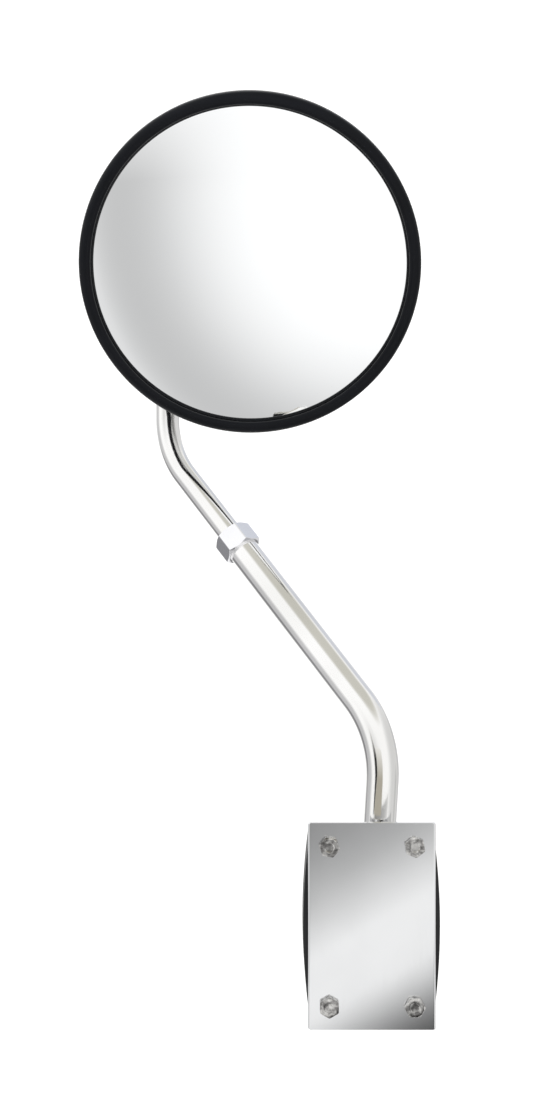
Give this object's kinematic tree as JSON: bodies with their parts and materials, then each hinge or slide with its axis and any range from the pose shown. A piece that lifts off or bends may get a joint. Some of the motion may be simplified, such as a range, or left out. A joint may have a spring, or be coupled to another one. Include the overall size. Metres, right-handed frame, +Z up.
{
  "type": "convex mirror on adjustable bracket arm",
  "caption": "Round convex mirror with a rubber rim on a bent telescopic stainless arm, clamped to a bolt-on base plate.",
  "frame": {"origin": "centre of the rear mounting face, at the middle of the bolt pattern", "axes": "+Y out of the rear mounting face, along the mounting bolts; +Z up, along the base plate's long side; the mirror faces -Y"},
  "size_m": [0.2222, 0.1506, 0.5672],
  "materials": {
    "polished_stainless": "polished",
    "brushed_stainless": "brushed",
    "bright_fastener": "satin",
    "zinc_steel": "satin",
    "mirror_lens": "gloss",
    "black_rubber": "satin",
    "black_plastic": "matte",
    "seat_plastic": "matte",
    "brown_board": "matte",
    "brass": "satin"
  },
  "bodies": {
    "base": {"base_plate": "polished_stainless", "base_bolts": "bright_fastener", "clamp_block_front": "black_plastic", "clamp_block_rear": "black_plastic", "base_gasket": "black_rubber"},
    "lower_arm": {"lower_tube": "polished_stainless", "tube_end_plug": "black_plastic"},
    "gland": {"compression_ferrule": "brass"},
    "gland_nut": {"compression_nut": "bright_fastener"},
    "guide": {"guide_plug": "seat_plastic"},
    "upper_arm": {"upper_tube": "polished_stainless"},
    "stud": {"ball_stud": "zinc_steel", "stud_washers": "bright_fastener", "stud_lock_washer": "bright_fastener", "stud_nut": "bright_fastener"},
    "seat": {"ball_seat": "seat_plastic"},
    "head": {"socket_housing": "zinc_steel", "seat_spring": "zinc_steel", "socket_cap": "zinc_steel", "socket_rivets": "bright_fastener", "head_shell": "brushed_stainless", "backing_board": "brown_board", "mirror_glass": "mirror_lens", "rim_gasket": "black_rubber"}
  },
  "joints": [
    {"name": "arm_swivel", "type": "hinge", "parent": "base", "child": "lower_arm", "pos_m": [0.0023, -0.017, 0], "axis": [0.0584, 0, 0.9983], "range_deg": [-180, 180]},
    {"name": "gland_slide", "type": "slide", "parent": "lower_arm", "child": "gland", "axis": [-0.5485, 0.4541, 0.7021], "range_m": [0, 0.003]},
    {"name": "nut_turn", "type": "hinge", "parent": "gland", "child": "gland_nut", "pos_m": [-0.08127, 0.05766, 0.22822], "axis": [-0.5485, 0.4541, 0.7021], "range_deg": [0, 720]},
    {"name": "telescope", "type": "slide", "parent": "lower_arm", "child": "guide", "axis": [-0.5485, 0.4541, 0.7021], "range_m": [-0.025, 0.04]},
    {"name": "arm_roll", "type": "hinge", "parent": "guide", "child": "upper_arm", "pos_m": [-0.04716, 0.02941, 0.18455], "axis": [-0.5485, 0.4541, 0.7021], "range_deg": [-180, 180]},
    {"name": "stud_spin", "type": "hinge", "parent": "upper_arm", "child": "stud", "pos_m": [-0.13, 0.04273, 0.4088], "axis": [0, 1, 0], "range_deg": [-15, 15]},
    {"name": "head_pan", "type": "hinge", "parent": "stud", "child": "seat", "pos_m": [-0.13, 0.04273, 0.4088], "axis": [0, 0, 1], "range_deg": [-10, 10]},
    {"name": "head_tilt", "type": "hinge", "parent": "seat", "child": "head", "pos_m": [-0.13, 0.04273, 0.4088], "axis": [1, 0, 0], "range_deg": [-30.5, 1]}
  ],
  "couplings": [
    {"joint": "gland_slide", "follows": "nut_turn", "m_per_rad": 0.00023873}
  ]
}
